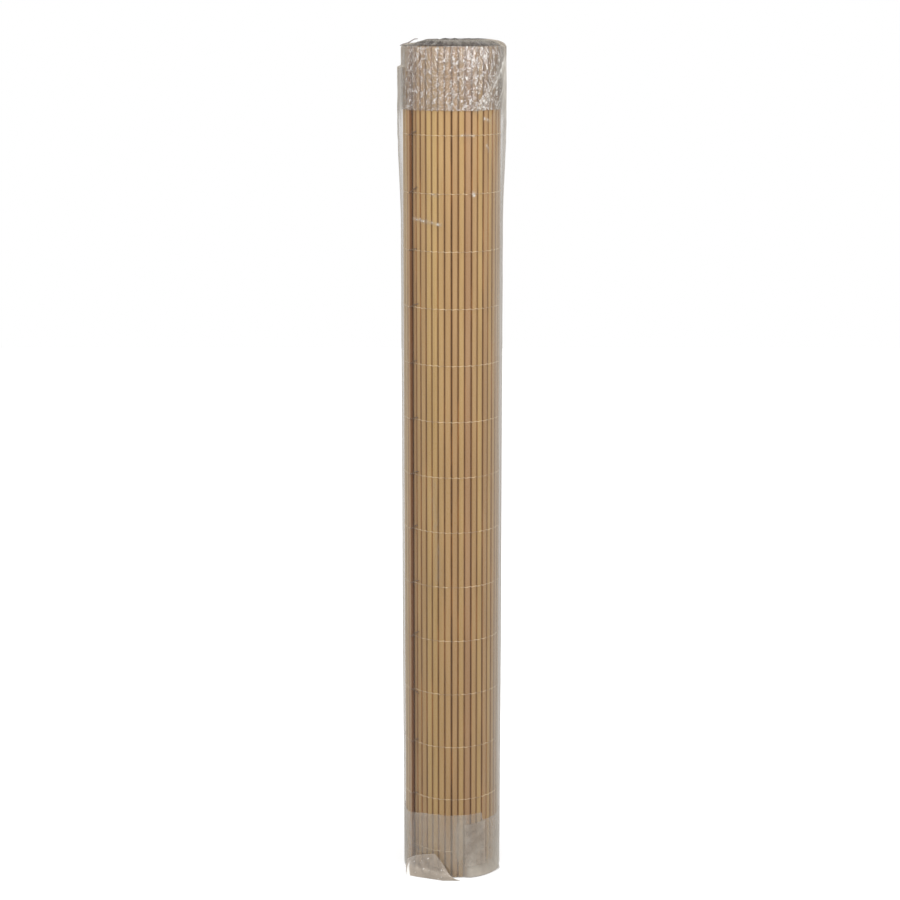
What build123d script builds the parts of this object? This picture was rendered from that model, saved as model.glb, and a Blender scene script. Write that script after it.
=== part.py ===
"""A privacy screen mat of PVC slats, rolled up, wrapped in clear film and stood on its end.

Millimetres, +Z up along the roll. The origin is on the floor, in the middle of the film.
The front is -Y.
"""

import os
from math import acos, ceil, cos, hypot, pi, radians, sin

from build123d import *

# Mat: flat oval slats side by side, tied by rows of thread
mat_length = 3000.0
mat_height = 1500.0
slat_pitch = 11.5
slat_thickness = 5.4
slat_bevel = 1.5  # width of the slope from a slat's face to its edge
slat_edge = 1.4  # thickness of the mat where two slats meet

# Roll: a spiral with a little air between its turns
core_radius = 32.0
turn_gap = 1.1
free_edge_angle = 213.0  # seen from above, from +X

# Tie threads: as many rows across the slats as the height has room for
thread_row_pitch = 100.0
thread_width = 1.0
thread_seat = 0.05  # clearance under the thread

# Film: a gathered cap over each end, and a sleeve over the caps and the roll
film_wall = 0.4
film_clearance = 0.15
film_sides = 36
gather_depth = 0.7
top_cap_skirt = 108.0  # down from the slats' ends
top_cap_rise = 2.0  # up from the slats' ends
shoulder_rise = 8.5
shoulder_tuck = 26.0  # inward over the shoulder
bottom_cap_skirt = 121.0
sleeve_waist_height = 700.0
sleeve_waist_slack = 0.8  # how much wider the sleeve is there than at its foot
sleeve_flare_drop = 120.0  # down from the slats' ends
sleeve_flare_slack = 5.6
sleeve_shoulder_slack = 5.0

# Closing tape: one strip on the sleeve, above its foot and to the right of the front
tape_width = 43.0
tape_length = 82.0
tape_wall = 0.3
tape_foot_height = 21.0
tape_angle = 299.0  # seen from above, from +X

turn_pitch = slat_thickness + turn_gap
radius_per_radian = turn_pitch / (2 * pi)
slat_count = int(mat_length / slat_pitch)
thread_rows = int(mat_height / thread_row_pitch)
mat_foot = film_wall + film_clearance
mat_top = mat_foot + mat_height


def spiral_turns():
    """Turn angles of the slats' edges and middles in order, half a slat apart, from the core outward."""
    turn = 0.0
    turns = []
    for _ in range(2 * slat_count + 1):
        turns.append(turn)
        turn += slat_pitch / 2 / hypot(core_radius + radius_per_radian * turn, radius_per_radian)
    return turns


turns = spiral_turns()
last_turn = turns[-1]
start_angle = radians(free_edge_angle) - last_turn
roll_radius = core_radius + radius_per_radian * last_turn

# The last turn leans to one side of the spiral's centre, and is shifted back into the film's middle
lean = turn_pitch / pi
lean_angle = radians(free_edge_angle + 90)
spiral_centre = Vector(lean * cos(lean_angle), lean * sin(lean_angle))


def on_spiral(turn):
    """The point at a turn angle, with the directions along the mat and out of the roll."""
    angle = start_angle + turn
    radius = core_radius + radius_per_radian * turn
    outward = Vector(cos(angle), sin(angle))
    onward = Vector(-sin(angle), cos(angle))
    along = (onward * radius + outward * radius_per_radian).normalized()
    return spiral_centre + outward * radius, along, Vector(along.Y, -along.X)


slat_edges = [on_spiral(turn) for turn in turns[0::2]]
slat_middles = [on_spiral(turn) for turn in turns[1::2]]


def mat_side(side):
    """One side of the mat from the core to the free edge: side is 1 for the outside and -1 for the inside."""
    half_face = slat_pitch / 2 - slat_bevel
    points = []
    for (edge, _, edge_out), (middle, along, out) in zip(slat_edges, slat_middles):
        face = middle + out * (side * slat_thickness / 2)
        points.append(edge + edge_out * (side * slat_edge / 2))
        points.append(face - along * half_face)
        points.append(face + along * half_face)
    free_edge, _, free_out = slat_edges[-1]
    points.append(free_edge + free_out * (side * slat_edge / 2))
    return points


with BuildPart() as rolled_mat:
    with BuildSketch(Plane.XY.offset(mat_foot)):
        with BuildLine():
            Polyline(*mat_side(1), *reversed(mat_side(-1)), close=True)
        make_face()
    extrude(amount=mat_height)
rolled_mat.part.label = "rolled_mat"


def seat_line(slat):
    """A point and a direction of the line along which a thread lies across a slat's outer face."""
    middle, along, out = slat
    return middle + out * (slat_thickness / 2 + thread_seat), along


def crossing(seat, next_seat):
    """Where two neighbouring seat lines meet, over the groove between their slats."""
    (point, along), (next_point, next_along) = seat, next_seat
    share = (next_point - point).cross(next_along).Z / along.cross(next_along).Z
    return point + along * share


# The threads show on the outermost turn, from the slat that the free edge covers round to that edge
outer_slats = [slat for slat, turn in zip(slat_middles, turns[1::2]) if turn > last_turn - 2 * pi]
seats = [seat_line(slat) for slat in outer_slats]
thread_start, thread_direction = seats[0]
thread_bends = [crossing(seat, next_seat) for seat, next_seat in zip(seats, seats[1:])]
thread_end = seats[-1][0] + seats[-1][1] * (slat_pitch / 2 - slat_bevel)
thread_profile = [(0, -thread_width / 2), (thread_width, 0), (0, thread_width / 2)]


def tie_thread(height):
    """One row of thread round the outermost turn: a three-sided bead that lies on the slats' faces."""
    route = [point + Vector(0, 0, height) for point in [thread_start, *thread_bends, thread_end]]
    outward = Vector(thread_direction.Y, -thread_direction.X)
    with BuildPart() as thread:
        with BuildLine() as path:
            Polyline(*route)
        with BuildSketch(Plane(route[0], x_dir=outward, z_dir=thread_direction)):
            with BuildLine():
                Polyline(*thread_profile, close=True)
            make_face()
        sweep(path=path.line, transition=Transition.RIGHT)
    return thread


first_row_height = mat_foot + (mat_height - (thread_rows - 1) * thread_row_pitch) / 2
tie_threads = [tie_thread(first_row_height + row * thread_row_pitch) for row in range(thread_rows)]
for number, thread in enumerate(tie_threads, start=1):
    thread.part.label = f"tie_thread_{number:02d}"

# Film lies round the last turn in flats, and spans the step at the free edge in one long flat
step_span = acos(1 - turn_pitch / roll_radius)
first_side = ceil(step_span / (2 * pi / film_sides))
flat_sag = roll_radius * (1 - cos(pi / film_sides))
thread_rise = hypot(roll_radius, slat_pitch / 2) - roll_radius
thread_crest = slat_thickness / 2 + thread_seat + thread_rise + thread_width
cap_outside = thread_crest + flat_sag + film_clearance + film_wall
sleeve_outside = cap_outside + gather_depth + film_clearance + film_wall


def wrap_ring(height, reach, gather=0.0, spread=0.0):
    """Corners of a level ring round the roll.

    The ring stands off the mat's middle line by reach, and in gathers by more at every other corner.
    Spread widens the whole ring, in proportion.
    """
    corners = []
    for side in range(first_side, film_sides + 1):
        middle, _, out = on_spiral(last_turn - 2 * pi + 2 * pi * side / film_sides)
        corner = (middle + out * (reach + gather * (side % 2))) * (1 + spread / roll_radius)
        corners.append(corner + Vector(0, 0, height))
    return corners


def flat_face(*corners):
    return Face(Wire.make_polygon(corners))


def film_bands(rings):
    """The flat faces between each ring and the next."""
    faces = []
    for ring, next_ring in zip(rings, rings[1:]):
        for corner in range(len(ring)):
            before = corner - 1
            faces.append(flat_face(ring[before], ring[corner], next_ring[corner], next_ring[before]))
    return faces


def film_cap(rings):
    """A thin cap from its inner end face, down and up again over its hem, to its outer end face."""
    return Solid(Shell([flat_face(*rings[0]), *film_bands(rings), flat_face(*rings[-1])]))


top_hem_height = mat_top - top_cap_skirt
shoulder_height = mat_top + top_cap_rise
crown_height = shoulder_height + shoulder_rise
with BuildPart() as top_film_cap:
    add(film_cap([
        wrap_ring(crown_height - film_wall, cap_outside, gather_depth, -shoulder_tuck - film_wall),
        wrap_ring(shoulder_height - film_wall, cap_outside, gather_depth, -film_wall),
        wrap_ring(top_hem_height, cap_outside, gather_depth, -film_wall),
        wrap_ring(top_hem_height, cap_outside, gather_depth),
        wrap_ring(shoulder_height, cap_outside, gather_depth),
        wrap_ring(crown_height, cap_outside, gather_depth, -shoulder_tuck),
    ]))
top_film_cap.part.label = "top_film_cap"

with BuildPart() as bottom_film_cap:
    add(film_cap([
        wrap_ring(film_wall, cap_outside, gather_depth, -film_wall),
        wrap_ring(bottom_cap_skirt, cap_outside, gather_depth, -film_wall),
        wrap_ring(bottom_cap_skirt, cap_outside, gather_depth),
        wrap_ring(0, cap_outside, gather_depth),
    ]))
bottom_film_cap.part.label = "bottom_film_cap"

opening_height = crown_height + film_clearance + film_wall
flare_height = mat_top - sleeve_flare_drop


def sleeve_rings(inset):
    """The sleeve, in from its outside by inset: tight at its foot, slack above, turned in over the top cap."""
    return [
        wrap_ring(0, sleeve_outside, spread=-inset),
        wrap_ring(sleeve_waist_height, sleeve_outside, spread=sleeve_waist_slack - inset),
        wrap_ring(flare_height, sleeve_outside, spread=sleeve_flare_slack - inset),
        wrap_ring(shoulder_height, sleeve_outside, spread=sleeve_shoulder_slack - inset),
        wrap_ring(opening_height - inset, sleeve_outside, spread=-shoulder_tuck - inset),
    ]


outer_rings = sleeve_rings(0)
inner_rings = sleeve_rings(film_wall)
with BuildPart() as film_sleeve:
    add(Solid(Shell(film_bands([*outer_rings, *reversed(inner_rings), outer_rings[0]]))))
film_sleeve.part.label = "film_sleeve"

# The tape follows the sleeve's flats, clear of them at its upper end
tape_head_height = tape_foot_height + tape_length
tape_inside = sleeve_outside + sleeve_waist_slack * tape_head_height / sleeve_waist_height + film_clearance
tape_place = Vector(roll_radius, 0).rotate(Axis.Z, tape_angle)

with BuildPart() as closing_tape:
    with BuildSketch(Plane.XY.offset(tape_foot_height)):
        with BuildLine():
            Polyline(*wrap_ring(0, tape_inside + tape_wall), close=True)
        make_face()
        with BuildLine():
            Polyline(*wrap_ring(0, tape_inside), close=True)
        make_face(mode=Mode.SUBTRACT)
        with Locations((tape_place.X, tape_place.Y)):
            Rectangle(roll_radius, tape_width, rotation=tape_angle, mode=Mode.INTERSECT)
    extrude(amount=tape_length)
closing_tape.part.label = "closing_tape"

os.makedirs("parts", exist_ok=True)
for piece in [rolled_mat, *tie_threads, top_film_cap, bottom_film_cap, film_sleeve, closing_tape]:
    export_step(piece.part, f"parts/{piece.part.label}.step")
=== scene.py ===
"""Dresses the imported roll: hollow slats, tie threads, crinkled film, closing tape and a plain stage.

Metres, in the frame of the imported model: +Z up along the roll, the front towards -Y.
"""

import random
from math import atan2, cos, exp, hypot, pi, radians, sin

import bpy
import numpy as np
from bpy.props import FloatProperty, FloatVectorProperty, IntProperty, PointerProperty
from mathutils import Euler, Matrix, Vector, noise


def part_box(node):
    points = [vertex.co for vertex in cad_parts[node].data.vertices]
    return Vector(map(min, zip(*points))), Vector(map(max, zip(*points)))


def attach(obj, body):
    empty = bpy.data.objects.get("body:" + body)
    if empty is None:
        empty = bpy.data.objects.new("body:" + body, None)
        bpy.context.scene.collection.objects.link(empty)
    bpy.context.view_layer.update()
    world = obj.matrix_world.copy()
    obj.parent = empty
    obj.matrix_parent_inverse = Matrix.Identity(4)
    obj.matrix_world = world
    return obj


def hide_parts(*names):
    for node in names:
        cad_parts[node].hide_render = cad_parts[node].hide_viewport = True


bl_info = {
    "name": "Rolled slat mat",
    "version": (1, 0, 0),
    "blender": (4, 5, 0),
    "location": "View3D > Sidebar > Slat mat",
    "description": "Makes a rolled mat of plastic slats in clear film, and a stage for it",
    "category": "Object",
}

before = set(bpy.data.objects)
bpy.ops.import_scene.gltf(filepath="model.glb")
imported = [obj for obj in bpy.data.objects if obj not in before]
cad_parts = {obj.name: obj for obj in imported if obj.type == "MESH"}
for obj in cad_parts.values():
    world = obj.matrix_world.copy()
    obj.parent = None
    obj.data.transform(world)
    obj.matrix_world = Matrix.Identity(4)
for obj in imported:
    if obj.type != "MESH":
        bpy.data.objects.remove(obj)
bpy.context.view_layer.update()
mat_low, mat_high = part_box("rolled_mat")
first_row_low, first_row_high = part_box("tie_thread_01")
_, sleeve_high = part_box("film_sleeve")
top_cap_low, top_cap_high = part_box("top_film_cap")
_, bottom_cap_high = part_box("bottom_film_cap")
tape_low, tape_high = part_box("closing_tape")
thread_nodes = sorted(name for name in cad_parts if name.startswith("tie_thread"))


def length(name, default, description):
    return FloatProperty(
        name=name, description=description, default=default, min=0, precision=5, unit="LENGTH"
    )


def colour(name, default, description):
    return FloatVectorProperty(
        name=name, description=description, default=default, min=0, max=1, size=3, subtype="COLOR"
    )


class RollSettings(bpy.types.PropertyGroup):
    """Sizes of the slats and of the roll."""

    mat_length: length("Mat length", 3.0, "Length of the unrolled mat")
    slat_pitch: length("Slat pitch", 0.0115, "From one slat's middle to the next")
    slat_gap: length("Slat gap", 0.0003, "Air between two slats")
    slat_thickness: length("Slat thickness", 0.0054, "Through a slat, from face to face")
    slat_wall: length("Slat wall", 0.0009, "Wall of a hollow slat")
    core_radius: length("Core radius", 0.032, "From the spiral's centre to the innermost slat's middle")
    turn_gap: length("Turn gap", 0.0011, "Air between two turns")
    free_edge_angle: FloatProperty(
        name="Free edge angle",
        description="Where the mat's outer edge lies, seen from above and measured from +X",
        default=radians(213),
        subtype="ANGLE",
    )


class ThreadSettings(bpy.types.PropertyGroup):
    """Sizes of the tie threads."""

    width: length("Thread width", 0.0009, "Across a thread")
    row_pitch: length("Row pitch", 0.1, "From one row of thread to the next")
    dip: length("Dip", 0.0011, "How far a thread sinks between two slats")
    tail: length("Tail length", 0.016, "Cut end of a thread past the mat's free edge")
    seed: IntProperty(name="Seed", description="Gives the thread ends other directions", default=4)


class FilmSettings(bpy.types.PropertyGroup):
    """Sizes of the film round the roll."""

    cap_reach: length("Cap reach", 0.0044, "From the mat's middle line out to a cap's film")
    sleeve_reach: length("Sleeve reach", 0.0056, "From the mat's middle line out to the sleeve's foot")
    waist_slack: length("Waist slack", 0.0008, "How much wider the sleeve is half way up")
    flare_slack: length("Flare slack", 0.0056, "How much wider the sleeve is near its head")
    flare_drop: length("Flare drop", 0.120, "From the slats' ends down to the sleeve's widest place")
    shoulder_tuck: length("Shoulder tuck", 0.026, "How far the shoulder turns in")


class ColourSettings(bpy.types.PropertyGroup):
    """Colours of the slats, threads, film and tape."""

    slat_straw: colour("Straw slats", (0.448, 0.293, 0.119), "The yellower slats")
    slat_rose: colour("Rose slats", (0.346, 0.199, 0.108), "The pinker slats")
    # Painted shade: dark brown for the shaded grooves and the slats' rounded edges; also the slats' dark
    # lengthwise lines and the threads' grime
    groove_shade_and_grime: colour("Slat edges", (0.135, 0.050, 0.009), "Slat edges inside the grooves")
    # Painted shade: a redder brown for the shade in the grooves, in places
    redder_groove_shade: colour("Slat seams", (0.27, 0.110, 0.026), "Redder places in the grooves")
    thread: colour("Thread", (0.80, 0.63, 0.39), "Tie threads")
    film: colour("Film", (0.375, 0.335, 0.272), "Haze of the clear film")
    cap: colour("Cap film", (0.595, 0.548, 0.475), "Haze of the lower cap")
    crinkle: colour("Crinkled film", (0.170, 0.100, 0.055), "Haze of the crinkled upper cap")
    # Painted shade: the near-black crown stands for the shadowed upper end under its layers of film
    crown: colour("Crown film", (0.038, 0.028, 0.022), "Layers of film over the upper end")
    flap: colour("Flap film", (0.42, 0.36, 0.30), "Loose corner of film at the foot")
    rim: colour("Rim film", (0.075, 0.036, 0.016), "Loose rim of film at the upper left")
    tape: colour("Tape", (0.385, 0.330, 0.275), "Closing tape")
    # Painted shade: the cut ends and knots are a dark, shaded copy of the thread's colour
    thread_end: colour("Thread ends", (0.13, 0.075, 0.035), "Knots and cut ends of the tie threads")
    floor: colour("Floor", (0.40, 0.40, 0.40), "Floor of the stage")


class Value:
    """A socket that takes part in sums: each sum adds a Math node to the socket's tree."""

    def __init__(self, tree, socket):
        self.tree = tree
        self.socket = socket

    def out(self, name):
        return Value(self.tree, self.socket.node.outputs[name])

    def maths(self, operation, first, second):
        return self.tree.node("ShaderNodeMath", {"operation": operation}, {0: first, 1: second})

    def __add__(self, other):
        return self.maths("ADD", self, other)

    def __radd__(self, other):
        return self.maths("ADD", other, self)

    def __rsub__(self, other):
        return self.maths("SUBTRACT", other, self)

    def __mul__(self, other):
        return self.maths("MULTIPLY", self, other)

    def __pow__(self, other):
        return self.maths("POWER", self, other)

    def clamped(self):
        return self.tree.node("ShaderNodeClamp", {}, {"Value": self})

    def between(self, low, high):
        """0 below low, 1 above high, and a smooth rise from one to the other."""
        return self.tree.node(
            "ShaderNodeMapRange",
            {"interpolation_type": "SMOOTHSTEP"},
            {"Value": self, "From Min": low, "From Max": high},
        )


class Tree:
    """A node tree of a material, the world or Geometry Nodes."""

    def __init__(self, node_tree):
        self.node_tree = node_tree

    def node(self, kind, settings, sockets):
        """Adds a node, with its settings and its sockets' values or links. Gives its first output."""
        node = self.node_tree.nodes.new(kind)
        for name, setting in settings.items():
            setattr(node, name, setting)
        for key, value in sockets.items():
            if isinstance(value, Value):
                self.node_tree.links.new(value.socket, node.inputs[key])
            else:
                node.inputs[key].default_value = value
        return Value(self, node.outputs[0]) if node.outputs else None


class Finish(Tree):
    """A material under construction."""

    def __init__(self, name):
        self.material = bpy.data.materials.new(name)
        self.material.use_nodes = True
        self.material.node_tree.nodes.clear()
        super().__init__(self.material.node_tree)
        self.place = self.node("ShaderNodeTexCoord", {}, {}).out("Object")

    def attribute(self, name):
        return self.node("ShaderNodeAttribute", {"attribute_name": name}, {}).out("Fac")

    def stretched(self, scale):
        return self.node("ShaderNodeMapping", {}, {"Vector": self.place, "Scale": scale})

    def grain(self, scale, size, detail=2.0, roughness=0.5):
        """Noise on the piece, stretched by a scale for each axis."""
        return self.node(
            "ShaderNodeTexNoise",
            {},
            {"Vector": self.stretched(scale), "Scale": size, "Detail": detail, "Roughness": roughness},
        )

    def cells(self, scale, size):
        """Distance to the edge of crumpled cells on the piece."""
        return self.node(
            "ShaderNodeTexVoronoi",
            {"feature": "DISTANCE_TO_EDGE"},
            {"Vector": self.stretched(scale), "Scale": size},
        )

    def blend(self, share, first, second):
        """Two colours mixed: a share of 1 gives the second."""
        mix = self.node_tree.nodes.new("ShaderNodeMix")
        mix.data_type = "RGBA"
        for socket, value in zip((mix.inputs[0], mix.inputs[6], mix.inputs[7]), (share, first, second)):
            if isinstance(value, Value):
                self.node_tree.links.new(value.socket, socket)
            else:
                socket.default_value = value if isinstance(value, float) else (*value, 1.0)
        return Value(self, mix.outputs[2])

    def bump(self, height, distance):
        return self.node("ShaderNodeBump", {}, {"Height": height, "Distance": distance, "Strength": 1.0})

    def mix(self, share, first, second):
        return self.node("ShaderNodeMixShader", {}, {0: share, 1: first, 2: second})

    def finished(self, surface):
        self.node("ShaderNodeOutputMaterial", {}, {"Surface": surface})
        return self.material


class Spiral:
    """The mat's middle line, from the core out to the free edge."""

    def __init__(self, roll):
        self.pitch = roll.slat_thickness + roll.turn_gap
        self.rise = self.pitch / (2 * pi)
        self.core = roll.core_radius
        self.turns = []
        turn = 0.0
        for _ in range(2 * int(roll.mat_length / roll.slat_pitch) + 1):
            self.turns.append(turn)
            turn += roll.slat_pitch / 2 / hypot(self.core + self.rise * turn, self.rise)
        self.last = self.turns[-1]
        self.radius = self.core + self.rise * self.last
        self.start_angle = roll.free_edge_angle - self.last
        lean_angle = roll.free_edge_angle + pi / 2
        self.centre = Vector((cos(lean_angle), sin(lean_angle))) * (self.pitch / pi)

    def at(self, turn):
        """The point at a turn angle, with the directions along the mat and out of the roll."""
        angle = self.start_angle + turn
        radius = self.core + self.rise * turn
        outward = Vector((cos(angle), sin(angle)))
        onward = Vector((-sin(angle), cos(angle)))
        along = (onward * radius + outward * self.rise).normalized()
        return self.centre + outward * radius, along, Vector((along.y, -along.x))

    def slat_turns(self):
        return self.turns[1::2]

    def wrap(self, reach, count):
        """Points of film drawn tight round the last turn and across the step at its free edge."""
        corner, _, corner_out = self.at(self.last)
        corner = corner + corner_out * reach
        span = (2 * self.pitch / self.radius) ** 0.5
        landing, _, landing_out = self.at(self.last - 2 * pi + span)
        landing = landing + landing_out * reach
        points = []
        for step in range(count):
            turn = 2 * pi * step / count
            if turn < span:
                points.append(corner.lerp(landing, turn / span))
            else:
                middle, _, out = self.at(self.last - 2 * pi + turn)
                points.append(middle + out * reach)
        return points


def plain_mesh(name, vertices, faces, edges=()):
    mesh = bpy.data.meshes.new(name)
    mesh.from_pydata(vertices, edges, faces)
    mesh.update()
    return mesh


def point_values(mesh, name, values):
    mesh.attributes.new(name, "FLOAT", "POINT").data.foreach_set("value", values)


def smooth(mesh, sharp_angle):
    mesh.polygons.foreach_set("use_smooth", [True] * len(mesh.polygons))
    mesh.set_sharp_from_angle(angle=sharp_angle)


def dressed(name, mesh, material, slot, *nodes):
    """A finished piece: it rides on the roll, and stands for the nodes named."""
    piece = bpy.data.objects.new(name, mesh)
    bpy.context.scene.collection.objects.link(piece)
    mesh.materials.clear()
    mesh.materials.append(material)
    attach(piece, "root")
    if nodes:
        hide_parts(*nodes)
    return piece


def geometry_tree(name, sockets):
    """A Geometry Nodes tree with named inputs, and the Value of each input by name."""
    group = bpy.data.node_groups.new(name, "GeometryNodeTree")
    group.interface.new_socket("Geometry", in_out="OUTPUT", socket_type="NodeSocketGeometry")
    group.interface.new_socket("Geometry", in_out="INPUT", socket_type="NodeSocketGeometry")
    for socket, kind in sockets.items():
        group.interface.new_socket(socket, in_out="INPUT", socket_type=kind)
    tree = Tree(group)
    first = tree.node("NodeGroupInput", {}, {})
    return tree, {socket: first.out(socket) for socket in ["Geometry", *sockets]}


def grown(mesh, tree, values):
    """The plain mesh that a Geometry Nodes tree makes of a mesh."""
    source = bpy.data.objects.new(mesh.name, mesh)
    bpy.context.scene.collection.objects.link(source)
    modifier = source.modifiers.new(tree.node_tree.name, "NODES")
    modifier.node_group = tree.node_tree
    for item in tree.node_tree.interface.items_tree:
        if item.in_out == "INPUT" and item.name in values:
            modifier[item.identifier] = values[item.name]
    result = bpy.data.meshes.new_from_object(source.evaluated_get(bpy.context.evaluated_depsgraph_get()))
    bpy.data.objects.remove(source)
    return result


# Slats

def slat_finish(colours):
    """Extruded plastic: each slat has its own tan, with fine lengthwise lines, and painted shade in the
    grooves and towards the rounded edges.
    """
    finish = Finish("slat_plastic")
    tone = finish.attribute("tone")
    # Painted shade: each slat darkens over its outer half towards the rounded edges and into the grooves,
    # as strongly as its groove attribute says
    edge = finish.attribute("across").between(0.50, 0.96)
    streaks = finish.grain((1.0, 1.0, 0.012), size=900.0, detail=3.0)
    clouds = finish.grain((1.0, 1.0, 0.08), size=60.0)
    groove = finish.attribute("groove")
    # The painted groove shade turns redder in places
    shade_redness = finish.grain((1.0, 1.0, 0.10), size=75.0).between(0.50, 0.68) * (1 - groove.between(1.1, 1.5))
    body = finish.blend(tone, colours.slat_straw, colours.slat_rose)
    worn = streaks.between(0.45, 0.85) * 0.16 + clouds.between(0.35, 0.72) * 0.17
    lined = finish.blend(worn, body, colours.groove_shade_and_grime)
    seam = finish.blend(shade_redness, colours.groove_shade_and_grime, colours.redder_groove_shade)
    # The painted groove shade laid over the slat's own colours
    shaded = finish.blend(edge * groove, lined, seam)
    surface = finish.node("ShaderNodeBsdfPrincipled", {}, {
        "Base Color": shaded,
        "Roughness": 0.42 + streaks * 0.16,
        "Specular IOR Level": 0.22,
        "Normal": finish.bump(streaks, 0.00008),
    })
    return finish.finished(surface)


def slat_profile(half_width, half_thickness, corners):
    """Corners of a flat oval: nearly level faces that round over into the edges."""
    squareness = 0.5
    points = []
    for corner in range(corners):
        angle = 2 * pi * (corner + 0.5) / corners
        x, y = cos(angle), sin(angle)
        points.append((
            half_width * abs(x) ** squareness * (1 if x > 0 else -1),
            half_thickness * abs(y) ** squareness * (1 if y > 0 else -1),
        ))
    return points


def slat_mesh(roll):
    """One hollow slat, upright, its width along X."""
    corners = 20
    half_width = (roll.slat_pitch - roll.slat_gap) / 2
    half_thickness = roll.slat_thickness / 2
    outside = slat_profile(half_width, half_thickness, corners)
    inside = slat_profile(half_width - roll.slat_wall, half_thickness - roll.slat_wall, corners)
    loops = [
        [(x, y, mat_low[2]) for x, y in outside],
        [(x, y, mat_high[2]) for x, y in outside],
        [(x, y, mat_high[2]) for x, y in inside],
        [(x, y, mat_low[2]) for x, y in inside],
    ]
    faces = []
    for loop in range(len(loops)):
        this, other = loop * corners, (loop + 1) % len(loops) * corners
        for corner in range(corners):
            after = (corner + 1) % corners
            faces.append((this + corner, this + after, other + after, other + corner))
    vertices = [point for loop in loops for point in loop]
    mesh = plain_mesh("slat", vertices, faces)
    point_values(mesh, "across", [abs(x) / half_width for x, _, _ in vertices])
    return mesh


def slat_tree():
    """Puts a slat on each point, turned to the point's heading."""
    tree, given = geometry_tree("Slat row", {"Slat": "NodeSocketObject", "Material": "NodeSocketMaterial"})
    heading = tree.node("GeometryNodeInputNamedAttribute", {"data_type": "FLOAT"}, {"Name": "heading"})
    turn = tree.node("ShaderNodeCombineXYZ", {}, {"Z": heading})
    slat = tree.node("GeometryNodeObjectInfo", {}, {"Object": given["Slat"]}).out("Geometry")
    row = tree.node("GeometryNodeInstanceOnPoints", {}, {
        "Points": given["Geometry"],
        "Instance": slat,
        "Rotation": turn,
    })
    real = tree.node("GeometryNodeRealizeInstances", {}, {"Geometry": row})
    finished = tree.node("GeometryNodeSetMaterial", {}, {"Geometry": real, "Material": given["Material"]})
    tree.node("NodeGroupOutput", {}, {"Geometry": finished})
    return tree


class SLATMAT_OT_slats(bpy.types.Operator):
    """Make the rolled row of hollow slats"""

    bl_idname = "slatmat.slats"
    bl_label = "Slats"

    def execute(self, context):
        scene = context.scene
        spiral = Spiral(scene.slatmat_roll)
        draw = random.Random(7)
        shift_along, shift_out, shift_turn = 0.00022, 0.00012, radians(1.4)
        middle_tone, tone_spread = 0.45, 0.40
        # Strength of the painted shade in each slat's grooves; the last slat gets a wider painted shadow
        # for the step at the free edge
        faint_groove_shade, full_groove_shade, free_edge_shadow = 0.60, 1.0, 2.0
        places, headings, tones, groove_shades = [], [], [], []
        for turn in spiral.slat_turns():
            middle, along, out = spiral.at(turn)
            middle = middle + along * draw.gauss(0.0, shift_along) + out * draw.gauss(0.0, shift_out)
            places.append((middle.x, middle.y, 0.0))
            headings.append(atan2(along.y, along.x) + draw.gauss(0.0, shift_turn))
            tones.append(min(1.0, max(0.0, draw.gauss(middle_tone, tone_spread))))
            groove_shades.append(draw.uniform(faint_groove_shade, full_groove_shade))
        groove_shades[-1] = free_edge_shadow
        points = plain_mesh("slat_places", places, [])
        point_values(points, "heading", headings)
        point_values(points, "tone", tones)
        point_values(points, "groove", groove_shades)
        slat = bpy.data.objects.new("slat", slat_mesh(scene.slatmat_roll))
        material = slat_finish(scene.slatmat_colours)
        mesh = grown(points, slat_tree(), {"Slat": slat, "Material": material})
        bpy.data.objects.remove(slat)
        smooth(mesh, radians(50))
        dressed("hollow_slats", mesh, material, "slats", "rolled_mat")
        return {"FINISHED"}


# Tie threads

def thread_finish(name, fresh, grimy):
    """Twisted thread with fine slanting plies, fresh here and grimy there."""
    finish = Finish(name)
    plies = finish.grain((1.0, 1.0, 1.0), size=1400.0, detail=2.0)
    grime = finish.grain((1.0, 1.0, 1.0), size=110.0, detail=2.0)
    surface = finish.node("ShaderNodeBsdfPrincipled", {}, {
        "Base Color": finish.blend(grime.between(0.35, 0.65) * 0.75, fresh, grimy),
        "Roughness": 0.55 + plies * 0.2,
        "Sheen Weight": 0.2,
        "Normal": finish.bump(plies, 0.0001),
    })
    return finish.finished(surface)


def thread_tree():
    """Turns the edges given into twisted thread, and repeats them in rows."""
    tree, given = geometry_tree("Thread rows", {
        "Width": "NodeSocketFloat",
        "Rows": "NodeSocketInt",
        "First row": "NodeSocketVector",
        "Row step": "NodeSocketVector",
        "Material": "NodeSocketMaterial",
    })
    sides, twist = 6, 0.7
    path = tree.node("GeometryNodeMeshToCurve", {}, {"Mesh": given["Geometry"]})
    index = tree.node("GeometryNodeInputIndex", {}, {})
    twisted = tree.node("GeometryNodeSetCurveTilt", {}, {"Curve": path, "Tilt": index * twist})
    section = tree.node("GeometryNodeCurvePrimitiveCircle", {"mode": "RADIUS"}, {
        "Resolution": sides,
        "Radius": given["Width"] * 0.5,
    })
    thread = tree.node("GeometryNodeCurveToMesh", {}, {
        "Curve": twisted,
        "Profile Curve": section,
        "Fill Caps": True,
    })
    rows = tree.node("GeometryNodeMeshLine", {"mode": "OFFSET"}, {
        "Count": given["Rows"],
        "Start Location": given["First row"],
        "Offset": given["Row step"],
    })
    placed = tree.node("GeometryNodeInstanceOnPoints", {}, {"Points": rows, "Instance": thread})
    real = tree.node("GeometryNodeRealizeInstances", {}, {"Geometry": placed})
    finished = tree.node("GeometryNodeSetMaterial", {}, {"Geometry": real, "Material": given["Material"]})
    tree.node("NodeGroupOutput", {}, {"Geometry": finished})
    return tree


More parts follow.
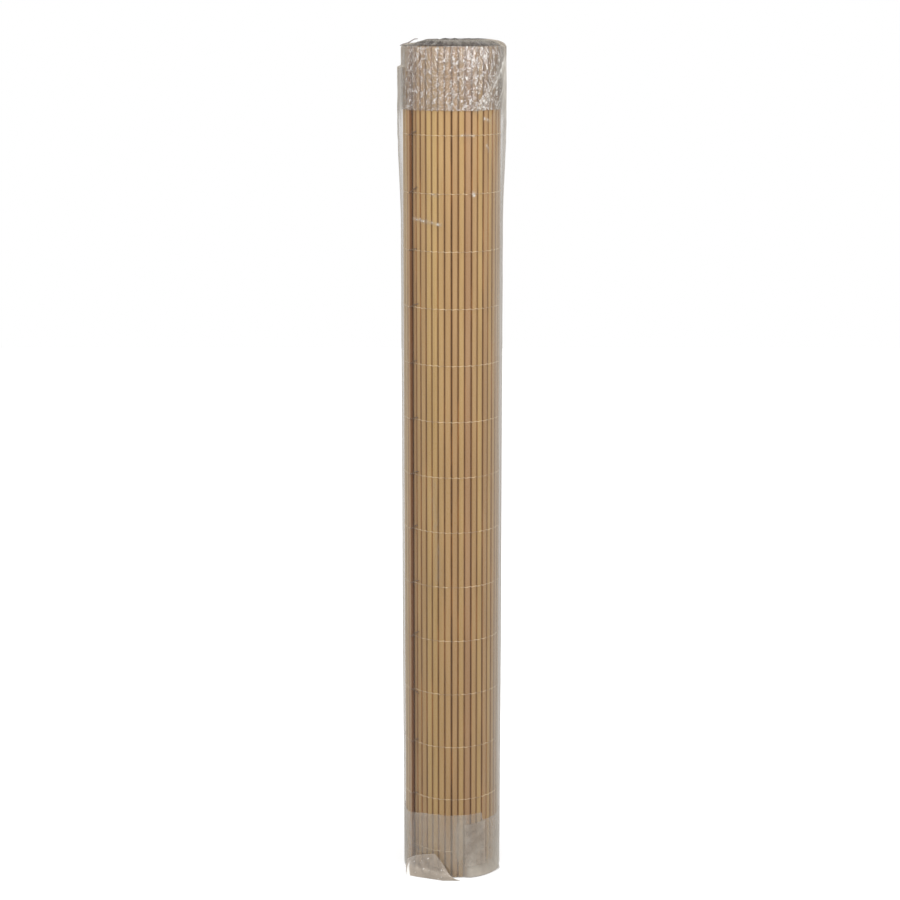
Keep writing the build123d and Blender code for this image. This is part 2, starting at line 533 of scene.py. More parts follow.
def thread_route(spiral, roll, thread):
    """Points of one row round the last turn: over each slat's face and down between the slats."""
    lift = roll.slat_thickness / 2 + thread.width * 0.35
    shoulder = lift - thread.dip * 0.35
    # Share of the slat's pitch along the mat, out from its middle line, and up in thread widths
    stations = [
        (-0.50, lift - thread.dip, 0.0), (-0.40, shoulder, -0.6), (-0.25, lift, -0.5), (0.0, lift, 0.0),
        (0.25, lift, 0.5), (0.40, shoulder, 0.6),
    ]
    route = []
    for turn in spiral.slat_turns():
        if turn > spiral.last - 2 * pi:
            middle, along, out = spiral.at(turn)
            for share, rise, climb in stations:
                point = middle + along * (share * roll.slat_pitch) + out * rise
                route.append((point.x, point.y, climb * thread.width))
    return route


def thread_tails(spiral, roll, thread, heights):
    """A knot and a cut end for each row, over the step at the mat's free edge."""
    draw = random.Random(thread.seed)
    vertices, edges = [], []
    edge, along, out = spiral.at(spiral.last)
    landing = roll.slat_thickness / 2 - spiral.pitch + thread.width * 0.5
    face = roll.slat_thickness / 2 + thread.width * 0.4
    knot = thread.width * 0.9
    for height in heights:
        slant = draw.choice((-1, 1)) * draw.uniform(0.25, 0.8)
        reach = thread.tail * draw.uniform(0.7, 1.15)
        # Along the mat from its free edge, out from its middle line, and up
        shape = [
            (-0.0030, face, 0.0),
            (-0.0016, face + knot, knot),
            (-0.0008, face, 0.0),
            (-0.0016, face + knot, -knot),
            (-0.0006, face, 0.0),
            (0.0008, face * 0.3, reach * slant * 0.2),
            (0.0020, landing + 0.002, reach * slant * 0.5),
            (reach * 0.55, landing + 0.0005, reach * slant * 0.8),
            (reach * 0.9, landing + 0.0012, reach * slant),
        ]
        first = len(vertices)
        for forward, rise, climb in shape:
            point = edge + along * forward + out * rise
            vertices.append((point.x, point.y, height + climb))
        edges += [(first + step, first + step + 1) for step in range(len(shape) - 1)]
    return plain_mesh("thread_tails", vertices, [], edges)


class SLATMAT_OT_threads(bpy.types.Operator):
    """Make the rows of tie thread and their cut ends"""

    bl_idname = "slatmat.threads"
    bl_label = "Tie threads"

    def execute(self, context):
        scene = context.scene
        roll, thread = scene.slatmat_roll, scene.slatmat_thread
        spiral = Spiral(roll)
        colours = scene.slatmat_colours
        material = thread_finish("tie_thread", colours.thread, colours.groove_shade_and_grime)
        # The thread ends get painted shade: a dark copy of the thread
        shaded_end_material = thread_finish("thread_end", colours.thread_end, colours.groove_shade_and_grime)
        first_row = (first_row_low[2] + first_row_high[2]) / 2
        rows = len(thread_nodes)
        route = thread_route(spiral, roll, thread)
        path = plain_mesh("thread_route", route, [], [(step, step + 1) for step in range(len(route) - 1)])
        tree = thread_tree()
        mesh = grown(path, tree, {
            "Width": thread.width,
            "Rows": rows,
            "First row": (0.0, 0.0, first_row),
            "Row step": (0.0, 0.0, thread.row_pitch),
            "Material": material,
        })
        smooth(mesh, radians(80))
        dressed("tie_threads", mesh, material, "thread", *thread_nodes)
        heights = [first_row + row * thread.row_pitch for row in range(rows)]
        tails = grown(thread_tails(spiral, roll, thread, heights), tree, {
            "Width": thread.width * 1.8,
            "Rows": 1,
            "First row": (0.0, 0.0, 0.0),
            "Row step": (0.0, 0.0, 0.0),
            "Material": shaded_end_material,
        })
        smooth(tails, radians(80))
        dressed("thread_ends", tails, shaded_end_material, "thread")
        return {"FINISHED"}


# Film

def film_finish(name, haze_colour, haze, side_haze, crinkle, gloss_roughness, film_ior, most_gloss=0.16):
    """Thin clear film: a haze that grows towards the sides, painted highlights, painted shade, creases
    whitened partly as painted glints, and a sharp gloss.
    """
    finish = Finish(name)
    # White of the painted highlights, and the darker haze colour of the painted shade
    highlight_colour, painted_shade_colour = (0.86, 0.84, 0.80), (0.34, 0.286, 0.232)
    folds = finish.grain((1.0, 1.0, 0.25), size=90.0, detail=4.0, roughness=0.6)
    facets = finish.cells((1.0, 1.0, 0.85), size=210.0)
    relief = finish.bump(folds * (1 + crinkle) + facets * (2.0 * crinkle), 0.0005 + 0.0006 * crinkle)
    veil = finish.grain((1.0, 1.0, 0.30), size=32.0, detail=3.0).between(0.28, 0.88)
    side = finish.node("ShaderNodeLayerWeight", {}, {"Blend": 0.35}).out("Facing") ** 1.9
    # One attribute paints white highlights, glints and reflections; the fold attribute paints shade with a
    # thicker, darker haze
    scuff, fold = finish.attribute("scuff"), finish.attribute("fold")
    least_whitened = 0.4
    if crinkle > least_whitened:
        # White crease lines on the crinkled film: partly whitened film, partly painted glints
        crease_whitening_and_glints = 1 - finish.cells((1.0, 1.0, 0.8), size=300.0).between(0.0, 0.20)
        patches = finish.grain((1.0, 1.0, 0.6), size=190.0, detail=3.0).between(0.44, 0.66)
        scuff = scuff + crease_whitening_and_glints * patches * (1.8 * (crinkle - least_whitened))
    # Haze darkened by painted shade where the fold attribute is
    haze_and_shade = finish.blend(fold, haze_colour, painted_shade_colour)
    milk = finish.node("ShaderNodeBsdfPrincipled", {}, {
        "Base Color": finish.blend(scuff.clamped(), haze_and_shade, highlight_colour),
        "Roughness": 0.55,
        "Specular IOR Level": 0.15,
        "Normal": relief,
    })
    clear = finish.node("ShaderNodeBsdfTransparent", {}, {})
    share = veil * (1.1 * haze) + 0.6 * haze + side * side_haze + scuff + fold
    body = finish.mix(share.clamped(), clear, milk)
    gloss = finish.node("ShaderNodeBsdfAnisotropic", {}, {
        "Color": (1.0, 1.0, 1.0, 1.0),
        "Roughness": gloss_roughness,
        "Normal": relief,
    })
    mirror = finish.node("ShaderNodeFresnel", {}, {"IOR": film_ior})
    return finish.finished(finish.mix(mirror.maths("MINIMUM", mirror, most_gloss), body, gloss))


def film_mesh(name, rings, crown=None, closed=True):
    """A skin through rings or rows of points, closed by a crown point where one is given."""
    count = len(rings[0])
    vertices = [point for ring in rings for point in ring]
    faces = []
    for level in range(len(rings) - 1):
        low, high = level * count, (level + 1) * count
        for step in range(count if closed else count - 1):
            after = (step + 1) % count
            faces.append((low + step, low + after, high + after, high + step))
    if crown is not None:
        last = (len(rings) - 1) * count
        vertices.append(crown)
        faces += [(last + step, last + (step + 1) % count, len(vertices) - 1) for step in range(count)]
    mesh = plain_mesh(name, vertices, faces)
    mesh.polygons.foreach_set("use_smooth", [True] * len(mesh.polygons))
    return mesh


def outward_of(points):
    """The direction out of a closed ring of points, at each of them."""
    directions = []
    for step in range(len(points)):
        run = points[(step + 1) % len(points)] - points[step - 1]
        directions.append(Vector((run.y, -run.x)).normalized())
    return directions


def eased(share):
    """A smooth rise from 0 to 1."""
    share = min(1.0, max(0.0, share))
    return share * share * (3 - 2 * share)


def angle_share(angle, start, rise, end, fall):
    """1 between two angles in degrees, with a smooth rise after the first and fall before the last."""
    return eased((angle - radians(start)) / radians(rise)) * eased((radians(end) - angle) / radians(fall))


def drift(place, scale):
    """Soft random swells, from about -1 to 1."""
    return noise.noise(Vector((place[0] * scale[0], place[1] * scale[1], place[2] * scale[2])))


# Turns the noise off the axes, so that folds run in all directions
fold_lean = Euler((0.6, 0.5, 0.9)).to_matrix()


def ridge(point, scale, seed):
    """Sharp random folds: 1 on the ridges, falling to about -1 in the valleys."""
    place = Vector((point[0] * scale[0], point[1] * scale[1], point[2] * scale[2] + seed))
    return 1 - 4 * abs(noise.noise(fold_lean @ place))


def view_angle(point):
    """Angle round the roll from the front, positive to the right."""
    return atan2(point[0], -point[1])


def left_share(angle):
    """1 on the roll's left side, where the sleeve ends below the head, and 0 at the front and the back."""
    return eased((radians(62) - abs(angle + radians(105))) / radians(20))


def front_share(angle):
    """1 at the front, where the sleeve leans in to the head, falling to 0 at the sides."""
    return eased((radians(52) - abs(angle)) / radians(22))


foot_spread, foot_spread_height = 0.0088, 0.045


def foot_flare(angle, height):
    """How far the film spreads on the floor at the right of the front."""
    spread = foot_spread * angle_share(angle, start=8, rise=16, end=80, fall=18)
    return spread * max(0.0, 1 - height / foot_spread_height) ** 1.5


# Long creases in the sleeve: from angle and height, to angle and height, then width and depth.
# The angles are in degrees.
sleeve_creases = [
    (70, 1.486, 30, 1.398, 0.0044, 0.0032),
    (76, 1.462, 42, 1.375, 0.0040, 0.0028),
    (60, 1.490, 48, 1.440, 0.0032, 0.0022),
    (84, 1.440, 62, 1.340, 0.0030, 0.0018),
    (-52, 1.208, -13, 1.197, 0.0016, 0.0009),
    (-5, 1.486, -13, 1.446, 0.0018, 0.0014),
    (48, 1.380, 36, 1.325, 0.0018, 0.0009),
]

# Painted highlights, glints and reflections on the sleeve, mostly along its creases: from angle and height,
# to angle and height, then width and strength.
# The angles are in degrees.
sleeve_highlights = [
    (-48, 1.207, -13, 1.198, 0.0026, 0.80),
    (36, 1.379, 42, 1.375, 0.0024, 0.80),
    (39, 1.334, 43, 1.322, 0.0020, 0.60),
    (25, 1.253, 25, 1.249, 0.0030, 0.95),
    (-24, 1.250, -17, 1.248, 0.0024, 0.60),
    (10, 1.352, 24, 1.351, 0.0022, 0.80),
    (-22, 0.745, -16, 0.560, 0.0060, 0.22),
    (74, 1.484, 28, 1.396, 0.0060, 0.75),
    (82, 1.470, 54, 1.402, 0.0040, 0.50),
    (62, 1.492, 48, 1.440, 0.0028, 0.55),
    (-3, 1.484, -12, 1.444, 0.0019, 0.55),
    (6, 1.430, -2, 1.402, 0.0014, 0.40),
]


def line_gap(angle, height, radius, start_angle, start_height, end_angle, end_height):
    """Distance on the sleeve to a straight line on it, and how far along the line that is."""
    start = Vector((radians(start_angle) * radius, start_height))
    run = Vector((radians(end_angle) * radius, end_height)) - start
    offset = Vector((angle * radius, height)) - start
    share = min(1.0, max(0.0, offset.dot(run) / run.length_squared))
    return (offset - run * share).length, share


def sleeve_highlight_at(place):
    """How white the sleeve is painted at a place on it: highlights, glints and reflections in lines and
    specks, and a whitening along its sides that is partly haze and partly painted reflection.
    """
    angle, radius = view_angle(place), hypot(place[0], place[1])
    # Whitening along the sides: partly haze, partly painted reflection
    right = 0.26 * angle_share(angle, start=44, rise=26, end=100, fall=14)
    left = 0.07 * angle_share(-angle, start=54, rise=16, end=105, fall=14)
    cloud = 0.65 + 0.5 * drift(place, (30, 30, 5))
    cloud_top, cloud_fade = 1.49, 0.02
    total = (right + left) * cloud * eased((cloud_top - place[2]) / cloud_fade)
    # Painted highlight lines, broken into glinting specks
    for *line, width, strength in sleeve_highlights:
        apart = line_gap(angle, place[2], radius, *line)[0]
        if apart < 2 * width:
            speck_glints = 0.25 + 1.5 * max(0.0, drift(place, (300, 300, 160)))
            total += strength * exp(-(apart / width) ** 2) * speck_glints
    return total


def head_shade(place):
    """How dim the sleeve is near its head, where it stands off the roll at the sides."""
    most, start_height, run = 0.40, 1.36, 0.06
    side = angle_share(abs(view_angle(place)), start=58, rise=16, end=125, fall=16)
    return most * side * eased((place[2] - start_height) / run)


def crease_height(angle, height, radius):
    """How far the long creases push the sleeve out at a place on it."""
    total = 0.0
    for *line, width, depth in sleeve_creases:
        apart, share = line_gap(angle, height, radius, *line)
        if apart < 3 * width:
            total += depth * exp(-(apart / width) ** 2) * (0.35 + 0.65 * sin(pi * share))
    return total


class SLATMAT_OT_film_sleeve(bpy.types.Operator):
    """Make the clear sleeve, tight at its foot, slack and creased near its head"""

    bl_idname = "slatmat.film_sleeve"
    bl_label = "Film sleeve"

    def execute(self, context):
        scene = context.scene
        film = scene.slatmat_film
        spiral = Spiral(scene.slatmat_roll)
        count, seam, overlap = 220, 92, 15
        lap_rise = 0.0008
        closed_base = spiral.wrap(film.sleeve_reach, count)
        closed_outward = outward_of(closed_base)
        order = [(seam + step) % count for step in range(count + overlap)]
        lifts = [lap_rise * step / len(order) for step in range(len(order))]
        outward = [closed_outward[step] for step in order]
        base = [closed_base[step] + closed_outward[step] * lift for step, lift in zip(order, lifts)]
        flare_height = mat_high[2] - film.flare_drop
        shoulder_height = mat_high[2] - 0.002
        slack_height = flare_height - 0.26
        heights = [
            *np.linspace(0.0, slack_height, 120, endpoint=False),
            *np.linspace(slack_height, flare_height, 135, endpoint=False),
            *np.linspace(flare_height, shoulder_height, 90),
        ]
        rings = []
        for height in heights:
            rings.append(self.wall_ring(base, outward, height, flare_height, film, spiral.radius))
        for share in np.linspace(0.0, 1.0, 22)[1:]:
            rings.append(self.shoulder_ring(base, outward, share, shoulder_height, film, spiral.radius))
        colours = scene.slatmat_colours
        material = film_finish("clear_film", colours.film, haze=0.012, side_haze=0.90, crinkle=0.0,
                               gloss_roughness=0.07, film_ior=1.26, most_gloss=0.05)
        mesh = film_mesh("clear_sleeve", rings, closed=False)
        # Painted highlights, glints and reflections on the sleeve
        point_values(mesh, "scuff", [sleeve_highlight_at(vertex.co) for vertex in mesh.vertices])
        # Painted shade near the head at the sides, carried by the fold attribute
        point_values(mesh, "fold", [head_shade(vertex.co) for vertex in mesh.vertices])
        piece = dressed("clear_sleeve", mesh, material, "clear_film", "film_sleeve")
        return {"FINISHED"}

    def wall_ring(self, base, outward, height, flare_height, film, radius):
        """A ring of the sleeve's wall, drawn in where it lies on the cap at the left and at the front."""
        waist_height, flare_run = 0.5, 0.19
        notch_height, notch_run = 1.464, 0.004
        lean_height, lean_run = 1.462, 0.038
        widening = eased((height - flare_height + flare_run) / flare_run)
        open_slack = film.waist_slack * eased(height / waist_height)
        open_slack += (film.flare_slack - film.waist_slack) * widening
        looseness = open_slack / film.flare_slack
        drawn_in = eased((height - notch_height) / notch_run)
        leaning = min(1.0, max(0.0, (height - lean_height) / lean_run))
        ring = []
        for point, out in zip(base, outward):
            angle = view_angle(point)
            place = (point.x, point.y, height)
            closing = max(drawn_in * left_share(angle), leaning * front_share(angle))
            slack = open_slack + (self.tight(film) - open_slack) * closing
            swells = drift(place, (60, 60, 2.2)) * (0.0002 + 0.0016 * looseness)
            ripples = (ridge(place, (140, 140, 16), seed=3.0) - 0.5) * (0.0001 + 0.0005 * looseness ** 2)
            push = swells + ripples + crease_height(angle, height, radius) + foot_flare(angle, height)
            pushed = point * (1 + slack / radius) + out * push
            ring.append((pushed.x, pushed.y, height))
        return ring

    def tight(self, film):
        """Slack where the sleeve lies on the cap under it."""
        return film.cap_reach - film.sleeve_reach + 0.0005

    def shoulder_ring(self, base, outward, share, shoulder_height, film, radius):
        """A ring of the sleeve's shoulder, a share of the way from the wall to the tucked edge."""
        open_rise, low_rise = sleeve_high[2] - shoulder_height, 0.007
        fold_depth = 0.0022 * sin(pi * min(1.0, share * 1.4))
        ring = []
        for point, out in zip(base, outward):
            angle = view_angle(point)
            left = left_share(angle)
            rise = open_rise + (low_rise - open_rise) * left
            start = film.flare_slack + (self.tight(film) - film.flare_slack) * max(left, front_share(angle))
            spread = start * (1 - share) ** 0.6 - (film.shoulder_tuck + 0.001) * share ** 1.3
            fold = ridge((point.x, point.y, share * 0.02), (120, 120, 30), seed=8.0) * fold_depth
            place = point * (1 + spread / radius) + out * fold
            ring.append((place.x, place.y, shoulder_height + rise * sin(share * pi / 2) + fold * 0.4))
        return ring


crown_sink = 0.006


class SLATMAT_OT_film_caps(bpy.types.Operator):
    """Make the crinkled film caps over both ends"""

    bl_idname = "slatmat.film_caps"
    bl_label = "Film caps"

    def execute(self, context):
        scene = context.scene
        film, colours = scene.slatmat_film, scene.slatmat_colours
        spiral = Spiral(scene.slatmat_roll)
        self.top_cap(spiral, film, colours)
        self.foot_flap(colours)
        self.head_ear(colours)
        self.bottom_cap(spiral, film, colours)
        return {"FINISHED"}

    def top_cap(self, spiral, film, colours):
        """The crinkled skirt round the upper end, and the gathered crown over it."""
        base = spiral.wrap(film.cap_reach, count=360)
        hem, head = top_cap_low[2], mat_high[2] + 0.001
        crinkled = film_finish("crinkled_film", colours.crinkle, haze=0.26, side_haze=0.10, crinkle=0.85,
                               gloss_roughness=0.11, film_ior=1.75, most_gloss=0.3)
        skirt_mesh = film_mesh("top_cap_skirt", self.skirt_rings(base, hem, head))
        # Painted sheen over the right of the top cap
        point_values(skirt_mesh, "scuff", [self.head_sheen(vertex.co) for vertex in skirt_mesh.vertices])
        skirt = dressed("top_cap_skirt", skirt_mesh, crinkled, "cap_film", "top_film_cap")
        # Layers of film over the upper end, darkened near to black as painted shade for the shadowed end
        # under them
        shaded_layers = film_finish("layered_film", colours.crown, haze=0.86, side_haze=0.1, crinkle=0.45,
                              gloss_roughness=0.30, film_ior=1.2, most_gloss=0.025)
        centre = (0.0, 0.0, top_cap_high[2] - crown_sink)
        crown_mesh = film_mesh("top_cap_crown", self.crown_rings(base, head), centre)
        crown = dressed("top_cap_crown", crown_mesh, shaded_layers, "cap_film")
        (2 * spiral.radius * 1.05,) * 2

    def skirt_rings(self, base, hem, head):
        """Rings of the upper cap's skirt: crumpled, uneven at the hem and leaning in at the head."""
        crumple_depth, fine_depth, stand_off = 0.00040, 0.00042, 0.0004
        lean_depth, lean_run = 0.0014, 0.024
        hem_swell, hem_run = 0.0012, 0.02
        outward = outward_of(base)
        rings = []
        for height in np.linspace(hem, head, 84):
            lean = lean_depth * eased((height - head + lean_run) / lean_run)
            near_hem = 1 - eased((height - hem) / hem_run)
            ring = []
            for point, out in zip(base, outward):
                crumple = ridge((point.x, point.y, height), (230, 230, 150), seed=1.0)
                fine = ridge((point.x, point.y, height), (430, 430, 330), seed=5.0)
                place = point + out * (crumple * crumple_depth + fine * fine_depth + stand_off - lean)
                uneven = hem_swell * drift((point.x, point.y, 1.0), (40, 40, 2.0)) * near_hem
                ring.append((place.x, place.y, height + uneven))
            rings.append(ring)
        return rings

    def crown_rings(self, base, head):
        """Rings of the crown, from the skirt inwards: a pleated dome that sinks over the roll's hole."""
        crown_height = top_cap_high[2]
        pleat_depth, most_over, left_flattening = 0.0012, 0.0015, 0.7
        rings = []
        for share in np.linspace(0.0, 0.97, 40):
            dome = (crown_height - head) * (1 - (1 - min(1.0, share * 2.6)) ** 2)
            pleated = pleat_depth * sin(pi * min(1.0, share * 1.6))
            sunk = crown_sink * eased((share - 0.5) / 0.4)
            near_skirt = eased((0.55 - share) / 0.35)
            ring = []
            for point in base:
                pleat = ridge((point.x, point.y, share * 0.01), (75, 75, 60), seed=4.0)
                rise = dome + pleat * pleated - sunk
                rise *= 1 - left_flattening * left_share(view_angle(point)) * near_skirt
                place = point * (1 - share)
                ring.append((place.x, place.y, min(head + rise, crown_height + most_over)))
            rings.append(ring)
        return rings

    def bottom_cap(self, spiral, film, colours):
        """The hazier film under the roll and up its sides, to a hem that hangs unevenly."""
        base = spiral.wrap(film.cap_reach, count=300)
        outward = outward_of(base)
        hem = bottom_cap_high[2]
        sole, side_foot, drop_start = 0.0002, 0.0015, 0.03
        crumple_depth, fine_depth, stand_off = 0.0004, 0.00012, 0.0003
        rings = []
        for share in np.linspace(0.04, 1.0, 12):
            rings.append([(point.x * share, point.y * share, sole) for point in base])
        for height in np.linspace(side_foot, hem, 74):
            hanging = max(0.0, (height - drop_start) / (hem - drop_start))
            ring = []
            for point, out in zip(base, outward):
                angle = view_angle(point)
                crumple = ridge((point.x, point.y, height), (110, 110, 70), seed=2.0)
                fine = ridge((point.x, point.y, height), (330, 330, 260), seed=6.0)
                push = crumple * crumple_depth + fine * fine_depth + stand_off + foot_flare(angle, height)
                place = point + out * push
                ring.append((place.x, place.y, height - hanging * self.hem_drop(angle)))
            rings.append(ring)
        rings.reverse()
        mesh = film_mesh("bottom_cap_film", rings, (0.0, 0.0, sole))
        mesh.flip_normals()
        # Thicker haze and painted shade where the film spreads over the floor, through the fold attribute
        point_values(mesh, "fold", [self.foot_haze_and_shade(vertex.co) for vertex in mesh.vertices])
        material = film_finish("hazy_film", colours.cap, haze=0.30, side_haze=0.2, crinkle=0.35,
                               gloss_roughness=0.28, film_ior=1.30)
        piece = dressed("bottom_cap_film", mesh, material, "cap_film", "bottom_film_cap")
        (2 * spiral.radius * 1.05 + 2 * hem,) * 2
        0.5 * (2 * spiral.radius * 1.05 + 2 * hem) ** 2

    def head_sheen(self, place):
        """Painted sheen that grows to the right over the top cap: a whitening that stands for glints there.
        """
        cloud = 0.7 + 0.8 * drift(place, (90, 90, 50))
        return 0.20 * cloud * angle_share(view_angle(place), start=2, rise=24, end=110, fall=30)

    def hem_drop(self, angle):
        """How far the bottom cap's hem hangs below its highest place."""
        left_drop, right_drop, back_rise, swell = 0.0085, 0.0155, 0.007, 0.0012
        left = left_drop * eased((-angle - radians(20)) / radians(50))
        right = right_drop * eased((angle - radians(38)) / radians(3))
        back = back_rise * eased((angle - radians(110)) / radians(70))
        return left + right - back + swell * noise.noise(Vector((angle * 5, 3.0, 7.0)))

    def foot_haze_and_shade(self, place):
        """Haze where the film spreads over the floor, in a darker colour: painted shade on the film that
        faces up to the light.
        """
        return 0.65 * eased(foot_flare(view_angle(place), place[2]) / foot_spread)

    def head_ear(self, colours):
        """The narrow loose rim of film that stands up at the upper left."""
        line = [
            (-0.0905, -0.012, 1.5005), (-0.0840, -0.012, 1.5025), (-0.0770, -0.011, 1.5045),
            (-0.0710, -0.010, 1.5080), (-0.0650, -0.008, 1.5115), (-0.0590, -0.006, 1.5118),
        ]
        widths = [0.0004, 0.0016, 0.0014, 0.0010, 0.0008, 0.0004]
        depth = 0.011
        vertices, faces = [], []
        for (x, y, z), width in zip(line, widths):
            vertices += [(x, y, z - width), (x, y + depth, z + width)]
        for step in range(len(line) - 1):
            corner = 2 * step
            faces.append((corner, corner + 2, corner + 3, corner + 1))
        mesh = plain_mesh("head_ear", vertices, faces)
        material = film_finish("rim_film", colours.rim, haze=0.8, side_haze=0.1, crinkle=0.2,
                               gloss_roughness=0.2, film_ior=1.4)
        piece = dressed("head_ear", mesh, material, "cap_film")

    def foot_flap(self, colours):
        """The corner of film folded up the front from the floor, left of the middle."""
        # Its free edge and its fold on the floor, from left to right
        upper = [
            (-0.0830, -0.0380, 0.018), (-0.0670, -0.0640, 0.036), (-0.0320, -0.0870, 0.048),
            (-0.0175, -0.0915, 0.031), (-0.0020, -0.0935, 0.005),
        ]
        lower = [
            (-0.0830, -0.0740, 0.001), (-0.0640, -0.0830, 0.001), (-0.0430, -0.0910, 0.001),
            (-0.0170, -0.1010, 0.001), (0.0170, -0.1015, 0.001),
        ]
        columns, levels = 64, 34
        belly, crumple_depth, fine_depth, lowest = 0.0024, 0.0008, 0.0003, 0.0006
        rows = []
        for level in range(levels):
            share = level / (levels - 1)
            loose = sin(pi * share)
            row = []
            for column in range(columns):
                place = column / (columns - 1) * (len(upper) - 1)
                first = min(int(place), len(upper) - 2)
                top = Vector(upper[first]).lerp(Vector(upper[first + 1]), place - first)
                foot = Vector(lower[first]).lerp(Vector(lower[first + 1]), place - first)
                point = foot.lerp(top, share)
                crumple = ridge(point, (70, 70, 60), seed=11.0) * crumple_depth
                fine = ridge(point, (260, 260, 220), seed=12.0) * fine_depth
                out = Vector((point.x, point.y, 0.0)).normalized()
                point += out * ((crumple + fine + belly) * loose)
                row.append((point.x, point.y, max(point.z, lowest)))
            rows.append(row)
        mesh = film_mesh("foot_flap", rows, closed=False)
        # Painted highlights: a white slit at the flap's left and white glints over it
        highlights = []
        for vertex in mesh.vertices:
            across, up = vertex.index % columns / (columns - 1), vertex.index // columns / (levels - 1)
            slit_middle, slit_width = 0.035 + 0.05 * up, 0.050 * (1 - up * 0.8)
            slit_highlight = eased((slit_width - abs(across - slit_middle)) / 0.02) * eased((0.80 - up) / 0.15)
            glint = 0.9 * eased((noise.noise(vertex.co * 330) - 0.60) / 0.10)
            highlights.append(max(slit_highlight, glint))
        point_values(mesh, "scuff", highlights)
        # Painted shade: thicker, darker haze on the flap's lower part, which faces up near the floor
        shaded_height, shade_run = 0.024, 0.016
        folds = [0.75 * eased((shaded_height - vertex.co.z) / shade_run) for vertex in mesh.vertices]
        point_values(mesh, "fold", folds)
        material = film_finish("flap_film", colours.flap, haze=0.62, side_haze=0.15, crinkle=0.35,
                               gloss_roughness=0.14, film_ior=1.35, most_gloss=0.10)
        piece = dressed("foot_flap", mesh, material, "cap_film")


# Closing tape

def tape_finish(colours):
    """Dull clear tape: a grey veil with fine dimples."""
    finish = Finish("closing_tape")
    dimples = finish.grain((1.0, 1.0, 1.0), size=420.0, detail=3.0)
    patches = finish.grain((1.0, 1.0, 1.0), size=45.0, detail=2.0)
    surface = finish.node("ShaderNodeBsdfPrincipled", {}, {
        "Base Color": finish.blend(patches.between(0.35, 0.7) * 0.5, colours.tape, colours.cap),
        "Roughness": 0.38 + dimples * 0.2,
        "Alpha": 0.42 + patches * 0.26,
        "Normal": finish.bump(dimples, 0.0008),
    })
    return finish.finished(surface)


class SLATMAT_OT_tape(bpy.types.Operator):
    """Make the strip of closing tape low on the front"""

    bl_idname = "slatmat.tape"
    bl_label = "Closing tape"

    def execute(self, context):
        scene = context.scene
        spiral = Spiral(scene.slatmat_roll)
        reach = scene.slatmat_film.sleeve_reach + 0.0007
        wrap = spiral.wrap(reach, count=720)
        strip = [point for point in wrap if tape_low[0] < point.x < tape_high[0] and point.y < 0]
        strip.sort(key=lambda point: point.x)
        out = Vector((sum(point.x for point in strip), sum(point.y for point in strip))).normalized()
        levels = 60
        stand_off, curl_depth, slant = 0.0002, 0.0003, 0.002
        rows = []
        for level in range(levels):
            height = tape_low[2] + (tape_high[2] - tape_low[2]) * level / (levels - 1)
            row = []
            for step, point in enumerate(strip):
                curl = curl_depth * ridge((point.x, point.y, height), (160, 160, 120), seed=9.0)
                place = point + out * (curl + stand_off + foot_flare(view_angle(point), height))
                row.append((place.x, place.y, height + slant * step / len(strip)))
            rows.append(row)
        mesh = film_mesh("tape_strip", rows, closed=False)
        piece = dressed("tape_strip", mesh, tape_finish(scene.slatmat_colours), "tape", "closing_tape")
        return {"FINISHED"}


# Stage

def background_share(tree):
    """1 for rays that see the background: straight, mirrored or through clear film."""
    path = tree.node("ShaderNodeLightPath", {}, {})
    seen = path.out("Is Camera Ray") + path.out("Is Glossy Ray") + path.out("Is Transmission Ray")
    return seen.clamped()


def floor_finish(colours):
    """White floor that keeps a soft shadow, with less glow near the roll: a painted soft shadow round its
    foot.
    """
    finish = Finish("floor")
    paper = finish.node("ShaderNodeBsdfDiffuse", {}, {"Color": (*colours.floor, 1.0)})
    away = finish.node("ShaderNodeVectorMath", {"operation": "LENGTH"}, {0: finish.place}).out("Value")
    # Painted shadow: the floor glows less within reach of the roll
    shadowed_glow, more_glow, shadow_edge, clear_edge = 0.66, 0.22, 0.11, 0.40
    glow_with_painted_shadow = away.between(shadow_edge, clear_edge) * more_glow + shadowed_glow
    glow = finish.node("ShaderNodeEmission", {}, {"Strength": background_share(finish) * glow_with_painted_shadow})
    return finish.finished(finish.node("ShaderNodeAddShader", {}, {0: paper, 1: glow}))


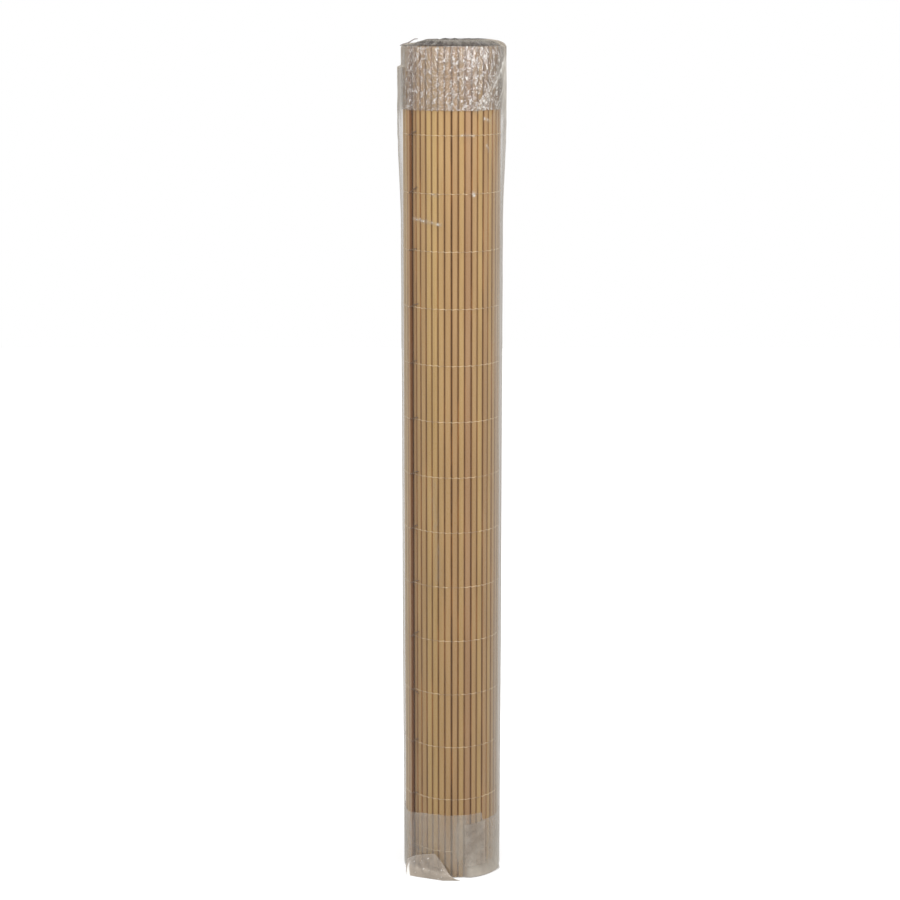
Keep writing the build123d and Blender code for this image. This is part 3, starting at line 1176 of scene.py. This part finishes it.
class SLATMAT_OT_stage(bpy.types.Operator):
    """Make the floor, the white surroundings, the lamps and the camera"""

    bl_idname = "slatmat.stage"
    bl_label = "Stage"

    def execute(self, context):
        scene = context.scene
        self.floor(scene)
        self.surroundings(scene)
        head, crown = (0.0, 0.0, 1.3), (0.0, 0.0, 1.4)
        self.lamp(scene, "left_lamp", (-1.30, -1.85, 2.25), target=head, size=(0.9, 1.5), power=33)
        self.lamp(scene, "right_lamp", (1.50, -1.65, 2.25), target=head, size=(0.9, 1.5), power=35)
        self.lamp(scene, "high_lamp", (0.15, -1.50, 3.40), target=crown, size=(2.2, 1.1), power=24)
        self.camera(scene)
        scene.view_settings.view_transform = "Standard"
        return {"FINISHED"}

    def floor(self, scene):
        half = 6.0
        corners = [(-half, -half, 0.0), (half, -half, 0.0), (half, half, 0.0), (-half, half, 0.0)]
        mesh = plain_mesh("floor", corners, [(0, 1, 2, 3)])
        mesh.materials.append(floor_finish(scene.slatmat_colours))
        floor = bpy.data.objects.new("floor", mesh)
        scene.collection.objects.link(floor)

    def surroundings(self, scene):
        world = bpy.data.worlds.new("studio")
        world.use_nodes = True
        world.node_tree.nodes.clear()
        tree = Tree(world.node_tree)
        ambient = 0.70
        light = tree.node("ShaderNodeBackground", {}, {
            "Color": (1.0, 1.0, 1.0, 1.0),
            "Strength": ambient + background_share(tree) * (1 - ambient),
        })
        tree.node("ShaderNodeOutputWorld", {}, {"Surface": light})
        scene.world = world

    def lamp(self, scene, name, place, target, size, power):
        light = bpy.data.lights.new(name, "AREA")
        light.shape = "RECTANGLE"
        light.size, light.size_y = size
        light.energy = power
        lamp = bpy.data.objects.new(name, light)
        lamp.location = place
        lamp.rotation_euler = (Vector(target) - Vector(place)).to_track_quat("-Z", "Y").to_euler()
        scene.collection.objects.link(lamp)

    def camera(self, scene):
        tilt = radians(11.811)
        camera = bpy.data.cameras.new("camera")
        camera.sensor_width = 36.0
        camera.lens = 88.16
        camera.shift_x = -0.0023
        eye = bpy.data.objects.new("camera", camera)
        eye.location = (0.0, -3.883, 1.596)
        eye.rotation_euler = (pi / 2 - tilt, 0.0, 0.0)
        scene.collection.objects.link(eye)
        scene.camera = eye


class SLATMAT_PT_sidebar(bpy.types.Panel):
    """Shows the settings, and a button for each group of pieces and the stage"""

    bl_idname = "SLATMAT_PT_sidebar"
    bl_label = "Slat mat"
    bl_space_type = "VIEW_3D"
    bl_region_type = "UI"
    bl_category = "Slat mat"

    def draw(self, context):
        for settings in setting_groups:
            group = getattr(context.scene, settings)
            column = self.layout.column(align=True)
            for name in group.__annotations__:
                column.prop(group, name)
        for operator in operators:
            self.layout.operator(operator.bl_idname)


setting_groups = {
    "slatmat_roll": RollSettings,
    "slatmat_thread": ThreadSettings,
    "slatmat_film": FilmSettings,
    "slatmat_colours": ColourSettings,
}
operators = (
    SLATMAT_OT_slats,
    SLATMAT_OT_threads,
    SLATMAT_OT_film_sleeve,
    SLATMAT_OT_film_caps,
    SLATMAT_OT_tape,
    SLATMAT_OT_stage,
)


def register():
    for name, group in setting_groups.items():
        bpy.utils.register_class(group)
        setattr(bpy.types.Scene, name, PointerProperty(type=group))
    for operator in operators:
        bpy.utils.register_class(operator)
    bpy.utils.register_class(SLATMAT_PT_sidebar)


def unregister():
    bpy.utils.unregister_class(SLATMAT_PT_sidebar)
    for operator in reversed(operators):
        bpy.utils.unregister_class(operator)
    for name, group in setting_groups.items():
        delattr(bpy.types.Scene, name)
        bpy.utils.unregister_class(group)


def main():
    register()
    bpy.ops.slatmat.slats()
    bpy.ops.slatmat.threads()
    bpy.ops.slatmat.film_sleeve()
    bpy.ops.slatmat.film_caps()
    bpy.ops.slatmat.tape()
    bpy.ops.slatmat.stage()


if __name__ == "__main__":
    main()
